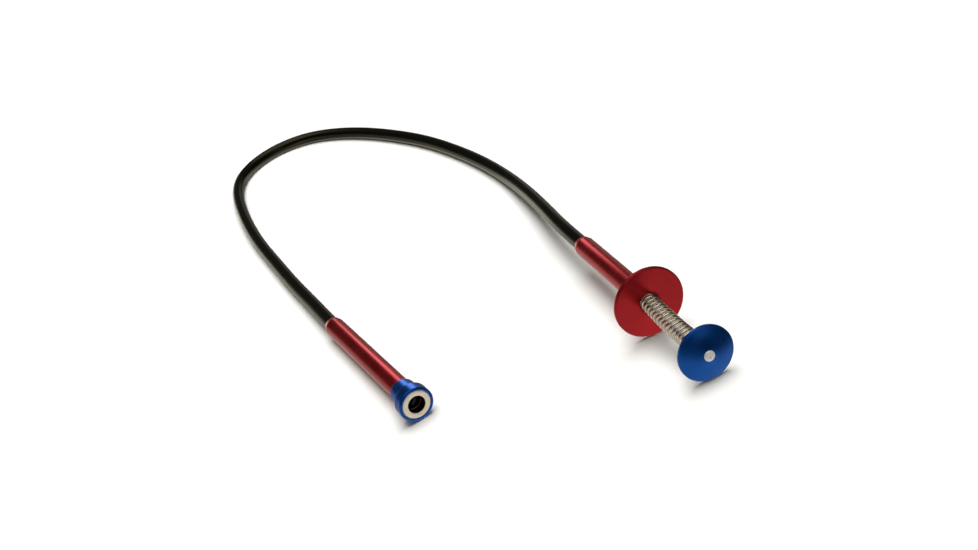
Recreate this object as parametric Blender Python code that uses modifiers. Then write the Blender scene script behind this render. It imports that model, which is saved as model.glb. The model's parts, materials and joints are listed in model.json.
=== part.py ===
"""Flexible magnetic claw pick-up tool: thumb button and finger flange at one end, a push wire in a
flexible shaft, and four spring claws behind a ring magnet at the other end.

Metres, +Z up. The tool lies on the plane z = 0. The origin is under the middle of the handle and the head.
"""
import math

import bmesh
import bpy
import numpy as np
from mathutils import Matrix, Vector

MM = 0.001
COLLECTION = "magnetic_claw_pickup_tool"
GAP = 0.3 * MM  # between neighbours that touch on the real tool

# Where the tool lies. Each axis runs from the shaft's ferrule to the face at the free end.
FLANGE_CENTRE = Vector((49.4, -21.4, 12.73)) * MM
HANDLE_FERRULE = Vector((39.9, 32.8, 11.0)) * MM
BUTTON_CENTRE = Vector((56.6, -53.6, 9.6)) * MM
BUTTON_AZIMUTH = math.radians(9.3)  # of the button's normal, from -Y towards +X
BUTTON_TILT = math.radians(5.8)  # the button's face looks up by this much
MOUTH_CENTRE = Vector((-36.0, -19.1, 6.5)) * MM
HEAD_FERRULE = Vector((-62.7, 55.1, 4.75)) * MM

# The shaft's route over the table, from the head's ferrule to the handle's.
ROUTE_MM = [
    (-70, 77, 4),
    (-79, 104, 3.3),
    (-88, 133, 3),
    (-96, 160, 3),
    (-102, 185, 3),
    (-106, 207, 3),
    (-108.5, 231, 3),
    (-106.5, 249.5, 3),
    (-98, 264.5, 3),
    (-84, 273, 3),
    (-67, 272.5, 3),
    (-50, 263, 3),
    (-35, 249, 3),
    (-19, 229, 3),
    (-3, 204, 3),
    (10, 177, 3),
    (20, 150.5, 3.2),
    (27, 124.5, 4),
    (31, 101, 6),
    (34, 75.5, 8.5),
    (36, 57, 10),
]

# Flexible shaft, from the skin inwards.
SHAFT_R = 3.0 * MM
SKIN_WALL = 0.45 * MM
LINER_R = 2.2 * MM
LINER_WALL = 0.9 * MM
WIRE_R = 0.75 * MM
SHAFT_STEP = 12.0 * MM  # two diameters between points
SKIN_IN_FERRULE = 4.0 * MM
LINER_IN_BARREL = 13.3 * MM
LINER_SIDES = 2
SKIN_SIDES = 3

# Barrels, alike at both ends.
BARREL_R = 3.97 * MM
BARREL_BORE_R = 3.5 * MM
NOSE_R = 3.7 * MM
NOSE_BORE_R = SHAFT_R + 0.25 * MM
NOSE_LENGTH = 4.8 * MM
NOSE_TAPER = 3.4 * MM
ANCHOR_LENGTH = 7.0 * MM
ANCHOR_GAP = 0.6 * MM  # from the nose's shoulder to the anchor

# Finger flange.
FLANGE_R = 12.7 * MM
FLANGE_THICKNESS = 1.6 * MM
FLANGE_EDGE = 0.35 * MM

# Thumb button, in its own frame: z = 0 at the front edge of its rim, +z out of its face.
BUTTON_R = 9.525 * MM
BUTTON_RIM = 1.3 * MM
BUTTON_EDGE = 0.3 * MM
BUTTON_DOME = 1.9 * MM
BOSS_R = 1.9 * MM
BOSS_LENGTH = 1.9 * MM
RIVET_HOLE_R = 1.2 * MM
RIVET_HEAD_R = 1.85 * MM
RIVET_HEAD_HEIGHT = 0.7 * MM
RIVET_SHANK_R = 0.9 * MM
STEM_FERRULE_R = 1.45 * MM
STEM_FERRULE_LENGTH = 5.0 * MM

# Return spring.
SPRING_WIRE_R = 0.475 * MM
SPRING_MEAN_R = 2.85 * MM  # at the flange
SPRING_END_R = 3.3 * MM  # at the button
SPRING_TURNS = 18.5  # between the flange and the button
DEAD_TURNS = 2.0  # close-wound, inside the barrel's mouth
DEAD_PITCH = 1.25 * MM
SPRING_SAG = math.radians(12.0)  # it leaves the flange this far below the barrel's axis
SPRING_SAG_REACH = 1.0
SPRING_END_REACH = 0.8
POINTS_PER_TURN = 9
SEAT_BORE_R = 1.75 * MM
SEAT_LENGTH = 3.5 * MM

# Push wire ends. The moving tubes telescope over the wire that stays in the shaft.
TUBE_R = 1.3 * MM
TUBE_BORE_R = 1.0 * MM
STEM_GAP = 0.35 * MM
PLUNGER_TUBE = (-26.5 * MM, -0.35 * MM)  # along the handle's axis
PLUNGER_TUBE_PLUG = 6.0 * MM
WIRE_END_HANDLE = -22.5 * MM
CLAW_TUBE_LENGTH = 37.0 * MM
CLAW_TUBE_PLUG = 18.5 * MM
WIRE_IN_CLAW_TUBE = 17.0 * MM

# Head. Distances along its axis are behind the mouth, which is z = 0.
COLLAR_R = 6.35 * MM
COLLAR_NECK_R = 4.85 * MM
COLLAR_LENGTH = 11.6 * MM
COLLAR_NECK_LENGTH = 5.9 * MM
COLLAR_CHAMFER = 1.1 * MM
COLLAR_LIP = 0.55 * MM
MAGNET_R = 5.25 * MM
MAGNET_BORE_R = 3.15 * MM
MAGNET_LENGTH = 3.2 * MM
MAGNET_INSET = 0.15 * MM
WASHER_THICKNESS = 0.6 * MM
WASHER_BORE_R = 3.35 * MM

# Claws.
CLAWS = 4
CLAW_WIDTH = 1.2 * MM
CLAW_THICKNESS = 0.45 * MM
CLAW_ROOT_R = 1.05 * MM
CLAW_SPLAY = math.radians(4.0)  # a closed claw leans out by this much
CLAW_PIVOT = 14.5 * MM  # behind the mouth
CLAW_HOOK = 2.8 * MM  # the first hook's place behind the mouth
CLAW_STAGGER = 0.75 * MM  # each next hook lies this much deeper, so that they cross when closed
CLAW_HOOK_LENGTH = 3.1 * MM
CLAW_BEND_R = 0.6 * MM
BEND_POINTS = 5
CLAW_FERRULE_R = 2.8 * MM
CLAW_FERRULE_LENGTH = 7.0 * MM
CLAW_FERRULE_BORE = 4.0 * MM
CLAW_FERRULE_GAP = 2.2 * MM  # from the ferrule's front to the claws' roots
STUB_INTO_FERRULE = 0.8 * MM

ROUND = 32
SMALL_ROUND = 20
MERGE = 1e-6


def clear_scene():
    for obj in list(bpy.data.objects):
        bpy.data.objects.remove(obj, do_unlink=True)


def collection(name):
    made = bpy.data.collections.new(name)
    bpy.context.scene.collection.children.link(made)
    return made


def material(name, color, roughness, metallic):
    made = bpy.data.materials.new(name)
    made.use_nodes = True
    shader = made.node_tree.nodes["Principled BSDF"]
    shader.inputs["Base Color"].default_value = (*color, 1.0)
    shader.inputs["Roughness"].default_value = roughness
    shader.inputs["Metallic"].default_value = metallic
    return made


def empty(name, origin, z_axis):
    """An empty at a piece's own origin whose local +Z is z_axis."""
    made = bpy.data.objects.new(name, None)
    made.empty_display_size = 5 * MM
    made.matrix_world = Matrix.Translation(origin) @ z_axis.to_track_quat("Z", "Y").to_matrix().to_4x4()
    PARTS.objects.link(made)
    bpy.context.view_layer.update()
    return made


def place(obj, finish, parent=None):
    obj.data.materials.append(finish)
    PARTS.objects.link(obj)
    if parent:
        obj.parent = parent
    return obj


def turned(name, profile, finish, parent, steps=ROUND, closed=True):
    """A turned piece. The profile is (radius, z) down the outer side and, for a ring, back up its bore."""
    mesh = bpy.data.meshes.new(name)
    count = len(profile)
    edges = [(i, i + 1) for i in range(count - 1)]
    if closed:
        edges.append((count - 1, 0))
    mesh.from_pydata([(r, 0.0, z) for r, z in profile], edges, [])
    obj = place(bpy.data.objects.new(name, mesh), finish, parent)
    screw = obj.modifiers.new("turn", "SCREW")
    screw.steps = steps
    screw.render_steps = steps
    screw.use_merge_vertices = True
    screw.merge_threshold = MERGE
    screw.use_smooth_shade = True
    return obj


def ring(name, outer_r, bore_r, low, high, finish, parent, edge=0.0, steps=ROUND):
    """A plain ring or tube with small chamfers on its outer edges."""
    profile = [(outer_r - edge, high), (outer_r, high - edge), (outer_r, low + edge), (outer_r - edge, low)]
    if not edge:
        profile = [(outer_r, high), (outer_r, low)]
    return turned(name, profile + [(bore_r, low), (bore_r, high)], finish, parent, steps)


def poly_curve(name, points, radius, sides, caps, finish, parent=None):
    curve = bpy.data.curves.new(name, "CURVE")
    curve.dimensions = "3D"
    curve.twist_mode = "MINIMUM"
    curve.bevel_depth = radius
    curve.bevel_resolution = sides
    curve.use_fill_caps = caps
    spline = curve.splines.new("POLY")
    spline.points.add(len(points) - 1)
    for point, spot in zip(spline.points, points):
        point.co = (*spot, 1.0)
    return place(bpy.data.objects.new(name, curve), finish, parent)


def smooth_curve(points, spacing):
    """Evenly spaced points on the natural cubic spline through the given ones."""
    knots = np.array([tuple(p) for p in points])
    spans = np.linalg.norm(np.diff(knots, axis=0), axis=1)
    t = np.concatenate([[0.0], np.cumsum(spans)])
    count = len(knots)
    system = np.eye(count)
    right = np.zeros((count, 3))
    for i in range(1, count - 1):
        before, after = spans[i - 1], spans[i]
        system[i, i - 1 : i + 2] = before, 2 * (before + after), after
        right[i] = 6 * ((knots[i + 1] - knots[i]) / after - (knots[i] - knots[i - 1]) / before)
    bend = np.linalg.solve(system, right)
    fine = []
    for i in range(count - 1):
        span = spans[i]
        for share in np.linspace(0.0, 1.0, 12, endpoint=i == count - 2):
            a, b = (1 - share) * span, share * span
            curve = (bend[i] * a**3 + bend[i + 1] * b**3) / (6 * span)
            line = (knots[i] / span - bend[i] * span / 6) * a
            line += (knots[i + 1] / span - bend[i + 1] * span / 6) * b
            fine.append(curve + line)
    fine = np.array(fine)
    walked = np.concatenate([[0.0], np.cumsum(np.linalg.norm(np.diff(fine, axis=0), axis=1))])
    stops = np.linspace(0.0, walked[-1], max(2, round(walked[-1] / spacing) + 1))
    return np.column_stack([np.interp(stops, walked, fine[:, axis]) for axis in range(3)])


def hermite(start, end, start_slope, end_slope, count):
    t = np.linspace(0.0, 1.0, count)[:, None]
    return (
        (2 * t**3 - 3 * t**2 + 1) * start
        + (t**3 - 2 * t**2 + t) * start_slope
        + (-2 * t**3 + 3 * t**2) * end
        + (t**3 - t**2) * end_slope
    )


def axes():
    """The handle's, the head's and the button's directions, all pointing out of the tool's ends."""
    handle = (FLANGE_CENTRE - HANDLE_FERRULE).normalized()
    head = (MOUTH_CENTRE - HEAD_FERRULE).normalized()
    level = Vector((math.sin(BUTTON_AZIMUTH), -math.cos(BUTTON_AZIMUTH), 0.0))
    button = level * math.cos(BUTTON_TILT) + Vector((0.0, 0.0, math.sin(BUTTON_TILT)))
    return handle, head, button


def barrel(name, back, front, finish, parent):
    """A thin tube whose nose narrows onto the shaft. It runs from z = back to z = front."""
    shoulder = back + NOSE_LENGTH
    profile = [
        (BARREL_R - 0.12 * MM, front),
        (BARREL_R, front - 0.12 * MM),
        (BARREL_R, back + NOSE_TAPER),
        (NOSE_R, back + 0.35 * MM),
        (NOSE_R - 0.15 * MM, back),
        (NOSE_BORE_R, back),
        (NOSE_BORE_R, shoulder),
        (BARREL_BORE_R, shoulder + 0.25 * MM),
        (BARREL_BORE_R, front),
    ]
    return turned(name, profile, finish, parent)


def shaft_anchor(name, back, finish, parent):
    """The bush that grips the shaft's liner inside a barrel."""
    low = back + NOSE_LENGTH + ANCHOR_GAP
    high = low + ANCHOR_LENGTH
    return ring(name, BARREL_BORE_R - GAP, LINER_R + GAP, low, high, finish, parent, 0.2 * MM, SMALL_ROUND)


def finger_flange(parent, finish):
    bore_r = BARREL_R + GAP
    profile = [
        (bore_r, 0.0),
        (FLANGE_R - FLANGE_EDGE, 0.0),
        (FLANGE_R - 0.3 * FLANGE_EDGE, -0.3 * FLANGE_EDGE),
        (FLANGE_R, -FLANGE_EDGE),
        (FLANGE_R, FLANGE_EDGE - FLANGE_THICKNESS),
        (FLANGE_R - 0.3 * FLANGE_EDGE, 0.3 * FLANGE_EDGE - FLANGE_THICKNESS),
        (FLANGE_R - FLANGE_EDGE, -FLANGE_THICKNESS),
        (bore_r, -FLANGE_THICKNESS),
    ]
    return turned("finger_flange", profile, finish, parent, 48)


def dome_height(r):
    """The button's face over its rim, as part of a sphere."""
    sphere = (BUTTON_R**2 + BUTTON_DOME**2) / (2 * BUTTON_DOME)
    return math.sqrt(sphere**2 - r**2) - (sphere - BUTTON_DOME)


def thumb_button(parent, finish):
    radii = np.linspace(RIVET_HOLE_R, BUTTON_R - BUTTON_EDGE, 6)
    profile = [(r, dome_height(r)) for r in radii]
    profile += [
        (BUTTON_R, -0.1 * MM),
        (BUTTON_R, BUTTON_EDGE - BUTTON_RIM),
        (BUTTON_R - BUTTON_EDGE, -BUTTON_RIM),
        (BOSS_R, -BUTTON_RIM),
        (BOSS_R, -BUTTON_RIM - BOSS_LENGTH),
        (RIVET_HOLE_R, -BUTTON_RIM - BOSS_LENGTH),
    ]
    return turned("thumb_button", profile, finish, parent, 40)


def button_rivet(parent, finish):
    seat = dome_height(RIVET_HEAD_R) + 0.16 * MM
    top = dome_height(RIVET_HOLE_R) + RIVET_HEAD_HEIGHT
    profile = [
        (0.0, top - 0.22 * MM),
        (0.45 * MM, top - 0.15 * MM),
        (0.75 * MM, top),
        (1.35 * MM, top - 0.06 * MM),
        (RIVET_HEAD_R, seat + 0.2 * MM),
        (RIVET_HEAD_R, seat),
        (RIVET_SHANK_R, seat + 0.02 * MM),
        (RIVET_SHANK_R, -BUTTON_RIM - BOSS_LENGTH),
        (0.0, -BUTTON_RIM - BOSS_LENGTH),
    ]
    return turned("button_rivet", profile, finish, parent, SMALL_ROUND, closed=False)


def spring_points(handle, button, seat_face, spring_end):
    """The spring's helix, wound on a centreline that sags between the flange and the button."""
    down = Vector((0.0, 0.0, -1.0))
    down = (down - handle * down.dot(handle)).normalized()
    leave = handle * math.cos(SPRING_SAG) + down * math.sin(SPRING_SAG)
    reach = (spring_end - FLANGE_CENTRE).dot(handle)
    samples = int(SPRING_TURNS * POINTS_PER_TURN) + 1
    outside = hermite(
        np.array(FLANGE_CENTRE),
        np.array(spring_end),
        np.array(leave) * reach * SPRING_SAG_REACH,
        np.array(button) * reach * SPRING_END_REACH,
        samples,
    )
    dead = int(DEAD_TURNS * POINTS_PER_TURN)
    depth = np.linspace(seat_face, 0.0, dead, endpoint=False)[:, None]
    inside = np.array(FLANGE_CENTRE) + depth * np.array(handle)
    centre = np.vstack([inside, outside])
    along = np.gradient(centre, axis=0)
    along /= np.linalg.norm(along, axis=1)[:, None]
    side = np.cross(along, (0.0, 0.0, 1.0))
    side /= np.linalg.norm(side, axis=1)[:, None]
    up = np.cross(side, along)
    turn = (2 * math.pi * np.arange(len(centre)) / POINTS_PER_TURN)[:, None]
    share = np.clip((np.arange(len(centre)) - dead) / (samples - 1), 0.0, 1.0)[:, None]
    coil_r = SPRING_MEAN_R + (SPRING_END_R - SPRING_MEAN_R) * share
    return centre + coil_r * (np.cos(turn) * side + np.sin(turn) * up)


def collar(parent, finish):
    """The stepped collar: a neck over the barrel, a wide band and a rounded lip at the mouth."""
    neck_end = -COLLAR_LENGTH + COLLAR_NECK_LENGTH
    band = neck_end + COLLAR_CHAMFER
    magnet_r = MAGNET_R + GAP
    floor = -(MAGNET_INSET + MAGNET_LENGTH + 2 * GAP + WASHER_THICKNESS)
    profile = [
        (magnet_r, 0.0),
        (COLLAR_R - COLLAR_LIP, 0.0),
        (COLLAR_R - 0.3 * COLLAR_LIP, -0.3 * COLLAR_LIP),
        (COLLAR_R, -COLLAR_LIP),
        (COLLAR_R, band),
        (COLLAR_NECK_R + 0.1 * MM, neck_end),
        (COLLAR_NECK_R, neck_end - 0.3 * MM),
        (COLLAR_NECK_R, 0.4 * MM - COLLAR_LENGTH),
        (COLLAR_NECK_R - 0.3 * MM, -COLLAR_LENGTH),
        (BARREL_R + GAP, -COLLAR_LENGTH),
        (BARREL_R + GAP, floor),
        (magnet_r, floor),
    ]
    return turned("head_collar", profile, finish, parent)


def claw_angle(index):
    return math.radians(45.0) + 2 * math.pi * index / CLAWS


def claw_outline(index):
    """One claw's side view in its own frame, as (outward, forward) from its root. The hook bends inward."""
    length = CLAW_PIVOT - CLAW_HOOK - CLAW_STAGGER * index
    ahead = np.array((math.sin(CLAW_SPLAY), math.cos(CLAW_SPLAY)))
    elbow = np.array((length * math.tan(CLAW_SPLAY), length))
    turn = math.pi / 2 + CLAW_SPLAY
    straight = CLAW_BEND_R * math.tan(turn / 2)
    centre = elbow - straight * ahead + CLAW_BEND_R * np.array((-ahead[1], ahead[0]))
    line = [np.zeros(2)]
    for step in np.linspace(0.0, turn, BEND_POINTS):
        swing = step - CLAW_SPLAY
        line.append(centre + CLAW_BEND_R * np.array((math.cos(swing), math.sin(swing))))
    line.append(elbow + np.array((-CLAW_HOOK_LENGTH, 0.0)))
    line = np.array(line)
    slope = np.gradient(line, axis=0)
    slope[0] = line[1] - line[0]
    slope[-1] = line[-1] - line[-2]
    slope /= np.linalg.norm(slope, axis=1)[:, None]
    normal = np.column_stack([slope[:, 1], -slope[:, 0]])
    half = CLAW_THICKNESS / 2
    return np.vstack([line + half * normal, (line - half * normal)[::-1]])


def claw(index, head_frame, finish):
    """A flat spring strip with a hooked end, on an empty at its bending line."""
    angle = claw_angle(index)
    outward = Vector((math.cos(angle), math.sin(angle), 0.0))
    forward = Vector((0.0, 0.0, 1.0))
    across = outward.cross(forward)
    frame = Matrix((outward, forward, across)).transposed().to_4x4()
    frame.translation = outward * CLAW_ROOT_R - forward * CLAW_PIVOT
    pivot = bpy.data.objects.new(f"claw_pivot_{index + 1}", None)
    PARTS.objects.link(pivot)
    pivot.parent = head_frame
    pivot.matrix_local = frame
    curve = bpy.data.curves.new(f"claw_{index + 1}", "CURVE")
    curve.dimensions = "2D"
    curve.fill_mode = "BOTH"
    curve.extrude = CLAW_WIDTH / 2
    outline = claw_outline(index)
    spline = curve.splines.new("POLY")
    spline.points.add(len(outline) - 1)
    spline.use_cyclic_u = True
    for point, spot in zip(spline.points, outline):
        point.co = (spot[0], spot[1], 0.0, 1.0)
    return place(bpy.data.objects.new(f"claw_{index + 1}", curve), finish, pivot)


def claw_ferrule(parent, finish):
    """The crimp that holds the four strips, with the stub of each strip standing out of its front."""
    front = -CLAW_PIVOT - CLAW_FERRULE_GAP
    back = front - CLAW_FERRULE_LENGTH
    bore_r = TUBE_R + GAP
    profile = [
        (0.0, front),
        (CLAW_FERRULE_R - 0.6 * MM, front),
        (CLAW_FERRULE_R, front - 0.6 * MM),
        (CLAW_FERRULE_R, back + 3.2 * MM),
        (CLAW_FERRULE_R - 0.35 * MM, back + 2.8 * MM),
        (CLAW_FERRULE_R - 0.35 * MM, back + 1.6 * MM),
        (CLAW_FERRULE_R, back + 1.2 * MM),
        (CLAW_FERRULE_R, back + 0.3 * MM),
        (CLAW_FERRULE_R - 0.3 * MM, back),
        (bore_r, back),
        (bore_r, back + CLAW_FERRULE_BORE),
        (0.0, back + CLAW_FERRULE_BORE),
    ]
    ferrule = turned("claw_ferrule", profile, finish, parent, 28, closed=False)
    length = CLAW_FERRULE_GAP - GAP + STUB_INTO_FERRULE
    for index in range(CLAWS):
        mesh = bpy.data.meshes.new("stub")
        work = bmesh.new()
        bmesh.ops.create_cube(work, size=1.0)
        bmesh.ops.scale(work, vec=(CLAW_THICKNESS, CLAW_WIDTH, length), verts=work.verts)
        work.to_mesh(mesh)
        work.free()
        stub = bpy.data.objects.new(f"stub_{index}", mesh)
        CUTTERS.objects.link(stub)
        angle = claw_angle(index)
        stub.parent = parent
        stub.location = (
            CLAW_ROOT_R * math.cos(angle),
            CLAW_ROOT_R * math.sin(angle),
            front - STUB_INTO_FERRULE + length / 2,
        )
        stub.rotation_euler = (0.0, 0.0, angle)
        stub.hide_render = True
        stub.display_type = "WIRE"
        join = ferrule.modifiers.new("stub", "BOOLEAN")
        join.operation = "UNION"
        join.object = stub
    return ferrule


def blind_tube(name, low, high, plug, finish, parent):
    """A tube closed at its front end by a plug of the given length."""
    bottom = high - plug
    profile = [
        (0.0, high),
        (TUBE_R, high),
        (TUBE_R, low),
        (TUBE_BORE_R, low),
        (TUBE_BORE_R, bottom),
        (0.0, bottom),
    ]
    return turned(name, profile, finish, parent, 14, closed=False)


def build_shaft(handle, head, finishes):
    """The skin, liner and wire, on one route, each reaching further into the barrels than the last."""
    straight_in = 8.0 * MM
    knots = [HEAD_FERRULE + head * straight_in, HEAD_FERRULE]
    knots += [Vector(point) * MM for point in ROUTE_MM]
    knots += [HANDLE_FERRULE, HANDLE_FERRULE + handle * straight_in]
    route = smooth_curve(knots, SHAFT_STEP)[1:-1]

    def between(head_depth, handle_depth):
        start = HEAD_FERRULE + head * head_depth
        end = HANDLE_FERRULE + handle * handle_depth
        return [tuple(start), *map(tuple, route), tuple(end)]

    barrel_length = (FLANGE_CENTRE - HANDLE_FERRULE).length
    ends = between(SKIN_IN_FERRULE, SKIN_IN_FERRULE)
    skin = poly_curve("flex_shaft_skin", ends, SHAFT_R, SKIN_SIDES, False, finishes["vinyl"])
    ends = between(LINER_IN_BARREL, LINER_IN_BARREL)
    liner = poly_curve("flex_shaft_liner", ends, LINER_R, LINER_SIDES, False, finishes["steel"])
    for tube, wall in ((skin, SKIN_WALL), (liner, LINER_WALL)):
        shell = tube.modifiers.new("wall", "SOLIDIFY")
        shell.thickness = wall
        shell.offset = -1.0
    head_length = (MOUTH_CENTRE - HEAD_FERRULE).length
    tube_back = claw_tube_span()[0]
    head_end = head_length + tube_back + WIRE_IN_CLAW_TUBE
    ends = between(head_end, barrel_length + WIRE_END_HANDLE)
    poly_curve("push_wire", ends, WIRE_R, 1, True, finishes["steel"])


def claw_tube_span():
    front = -CLAW_PIVOT - CLAW_FERRULE_GAP - CLAW_FERRULE_LENGTH + CLAW_FERRULE_BORE - GAP
    return front - CLAW_TUBE_LENGTH, front


def build_handle(handle, button, finishes):
    frame = empty("handle_axis", FLANGE_CENTRE, handle)
    back = -(FLANGE_CENTRE - HANDLE_FERRULE).length
    barrel("handle_barrel", back, 0.0, finishes["red"], frame)
    finger_flange(frame, finishes["red"])
    shaft_anchor("handle_shaft_anchor", back, finishes["brass"], frame)
    dead_length = DEAD_TURNS * DEAD_PITCH
    high = -dead_length - SPRING_WIRE_R - 0.15 * MM
    low = high - SEAT_LENGTH
    outer_r = BARREL_BORE_R - GAP
    ring("spring_seat", outer_r, SEAT_BORE_R, low, high, finishes["brass"], frame, 0.2 * MM, SMALL_ROUND)
    low, high = PLUNGER_TUBE
    blind_tube("plunger_tube", low, high, PLUNGER_TUBE_PLUG, finishes["steel"], frame)

    button_frame = empty("button_axis", BUTTON_CENTRE, button)
    thumb_button(button_frame, finishes["blue"])
    button_rivet(button_frame, finishes["steel"])

    spring_end = BUTTON_CENTRE - button * (BUTTON_RIM + SPRING_WIRE_R + 0.15 * MM)
    points = spring_points(handle, button, -dead_length, spring_end)
    poly_curve("return_spring", points, SPRING_WIRE_R, 1, True, finishes["spring"])

    stem_end = BUTTON_CENTRE - button * (BUTTON_RIM + BOSS_LENGTH + GAP)
    stem = (stem_end - FLANGE_CENTRE).normalized()
    reach = (stem_end - FLANGE_CENTRE).length
    stem_frame = empty("stem_axis", FLANGE_CENTRE, stem)
    ferrule_back = reach - STEM_FERRULE_LENGTH
    ferrule_floor = ferrule_back + 3.5 * MM
    profile = [
        (0.0, reach - 0.15 * MM),
        (STEM_FERRULE_R - 0.3 * MM, reach - 0.15 * MM),
        (STEM_FERRULE_R, reach - 0.5 * MM),
        (STEM_FERRULE_R, ferrule_back),
        (WIRE_R + GAP, ferrule_back),
        (WIRE_R + GAP, ferrule_floor),
        (0.0, ferrule_floor),
    ]
    turned("stem_ferrule", profile, finishes["steel"], stem_frame, 16, closed=False)
    wire_end = ferrule_floor - GAP
    profile = [(0.0, wire_end), (WIRE_R, wire_end), (WIRE_R, STEM_GAP), (0.0, STEM_GAP)]
    turned("button_stem", profile, finishes["steel"], stem_frame, 12, closed=False)


def build_head(head, finishes):
    frame = empty("head_axis", MOUTH_CENTRE, head)
    back = -(MOUTH_CENTRE - HEAD_FERRULE).length
    magnet_front = -MAGNET_INSET
    magnet_back = magnet_front - MAGNET_LENGTH
    washer_back = magnet_back - GAP - WASHER_THICKNESS
    barrel("head_barrel", back, washer_back - 2 * GAP, finishes["red"], frame)
    shaft_anchor("head_shaft_anchor", back, finishes["brass"], frame)
    collar(frame, finishes["blue"])
    edge = 0.12 * MM
    ring("ring_magnet", MAGNET_R, MAGNET_BORE_R, magnet_back, magnet_front, finishes["nickel"], frame, edge)
    ring("magnet_washer", MAGNET_R, WASHER_BORE_R, washer_back, magnet_back - GAP, finishes["steel"], frame)
    low, high = claw_tube_span()
    blind_tube("claw_tube", low, high, CLAW_TUBE_PLUG, finishes["steel"], frame)
    claw_ferrule(frame, finishes["steel"])
    for index in range(CLAWS):
        claw(index, frame, finishes["black_steel"])


def main():
    finishes = {
        "red": material("red_anodised_aluminium", (0.42, 0.012, 0.02), 0.3, 0.9),
        "blue": material("blue_anodised_aluminium", (0.012, 0.07, 0.42), 0.28, 0.9),
        "vinyl": material("black_vinyl", (0.012, 0.012, 0.01), 0.4, 0.0),
        "steel": material("bright_steel", (0.6, 0.58, 0.55), 0.3, 1.0),
        "spring": material("nickel_plated_spring", (0.66, 0.6, 0.52), 0.22, 1.0),
        "brass": material("turned_brass", (0.6, 0.42, 0.16), 0.35, 1.0),
        "nickel": material("satin_nickel_magnet", (0.78, 0.7, 0.6), 0.4, 0.8),
        "black_steel": material("black_spring_steel", (0.02, 0.02, 0.022), 0.4, 0.7),
    }
    handle, head, button = axes()
    build_shaft(handle, head, finishes)
    build_handle(handle, button, finishes)
    build_head(head, finishes)


clear_scene()
PARTS = collection(COLLECTION)
CUTTERS = collection("cutters")
main()
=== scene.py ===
"""Looks of the magnetic claw pick-up tool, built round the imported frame. Metres, +Z up, like the frame."""

import json
import math

import bpy
import numpy as np
from mathutils import Matrix, Vector


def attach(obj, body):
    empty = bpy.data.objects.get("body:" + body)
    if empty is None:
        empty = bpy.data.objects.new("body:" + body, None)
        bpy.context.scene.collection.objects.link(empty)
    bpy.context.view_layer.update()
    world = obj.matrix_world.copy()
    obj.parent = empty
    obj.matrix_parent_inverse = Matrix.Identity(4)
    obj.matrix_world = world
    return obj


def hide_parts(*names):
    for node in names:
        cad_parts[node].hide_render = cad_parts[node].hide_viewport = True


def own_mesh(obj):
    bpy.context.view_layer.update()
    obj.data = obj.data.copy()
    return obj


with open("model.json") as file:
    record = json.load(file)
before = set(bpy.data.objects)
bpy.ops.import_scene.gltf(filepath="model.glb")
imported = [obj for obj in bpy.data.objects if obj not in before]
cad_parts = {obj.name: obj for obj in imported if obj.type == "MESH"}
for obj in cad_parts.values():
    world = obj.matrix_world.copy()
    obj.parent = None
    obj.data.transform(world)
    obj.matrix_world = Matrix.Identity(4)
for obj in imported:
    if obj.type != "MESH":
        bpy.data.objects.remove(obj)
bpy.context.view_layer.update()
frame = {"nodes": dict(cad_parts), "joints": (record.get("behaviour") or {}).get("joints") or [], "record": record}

MM = 0.001
JOINTS = {joint["name"]: joint for joint in frame["joints"]}

# Camera: its place in the frame, and the directions of its right and upper sides.
CAMERA_MM = (2.6, -314.5, 215.8)
CAMERA_RIGHT = (0.93284, -0.18131, -0.31137)
CAMERA_UP = (0.36030, 0.46941, 0.80614)
LENS_MM = 39.17
SENSOR_MM = 36.0

# Flexible shaft: the route from part.py, from the head's ferrule to the handle's.
ROUTE_MM = [
    (-70, 77, 4),
    (-79, 104, 3.3),
    (-88, 133, 3),
    (-96, 160, 3),
    (-102, 185, 3),
    (-106, 207, 3),
    (-108.5, 231, 3),
    (-106.5, 249.5, 3),
    (-98, 264.5, 3),
    (-84, 273, 3),
    (-67, 272.5, 3),
    (-50, 263, 3),
    (-35, 249, 3),
    (-19, 229, 3),
    (-3, 204, 3),
    (10, 177, 3),
    (20, 150.5, 3.2),
    (27, 124.5, 4),
    (31, 101, 6),
    (34, 75.5, 8.5),
    (36, 57, 10),
]
SHAFT_R = 3.0 * MM
SHAFT_IN_FERRULE = 4.0 * MM
SHAFT_STRAIGHT = 8.0 * MM  # it enters each ferrule along the barrel's axis
RIB_PITCH = 0.62 * MM
RIB_DEPTH = 0.022 * MM
RIB_RINGS = 4
SHAFT_SIDES = 26

# Barrels and the finger flange.
BARREL_BORE_R = 3.5 * MM
NOSE_R = 3.7 * MM
NOSE_LENGTH = 4.8 * MM
NOSE_TAPER = 2.2 * MM
FLANGE_FIT_R = 3.99 * MM

# Thumb button, z = 0 at the front edge of its rim.
BUTTON_RIM = 1.3 * MM
BUTTON_DOME = 1.9 * MM
BOSS_R = 1.9 * MM
BOSS_LENGTH = 1.9 * MM
RIVET_HEAD_HEIGHT = 0.7 * MM
RIVET_SHANK_R = 0.9 * MM
STEM_FERRULE_DEPTH = 3.5 * MM
FERRULE_BORE_R = 0.95 * MM

# Return spring.
SPRING_WIRE_R = 0.475 * MM
SPRING_MEAN_R = 2.85 * MM  # at the flange
SPRING_END_R = 3.3 * MM  # at the button
SPRING_TURNS = 166 / 9  # between the flange and the button
DEAD_TURNS = 2.0  # close-wound, inside the barrel's mouth
DEAD_LENGTH = 2.5 * MM
SPLIT_TURN = 1.5  # turns from here on move with the button
SPRING_SAG = math.radians(12.0)
SPRING_SAG_REACH = 1.0  # the curve's slope at the flange, as a share of the spring's reach
SPRING_END_REACH = 0.8  # the same at the button
SPRING_CLOSING = 0.22  # the last turn advances by this share of a pitch less than the others
TURN_POINTS = 36
SPRING_SIDES = 14

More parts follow.
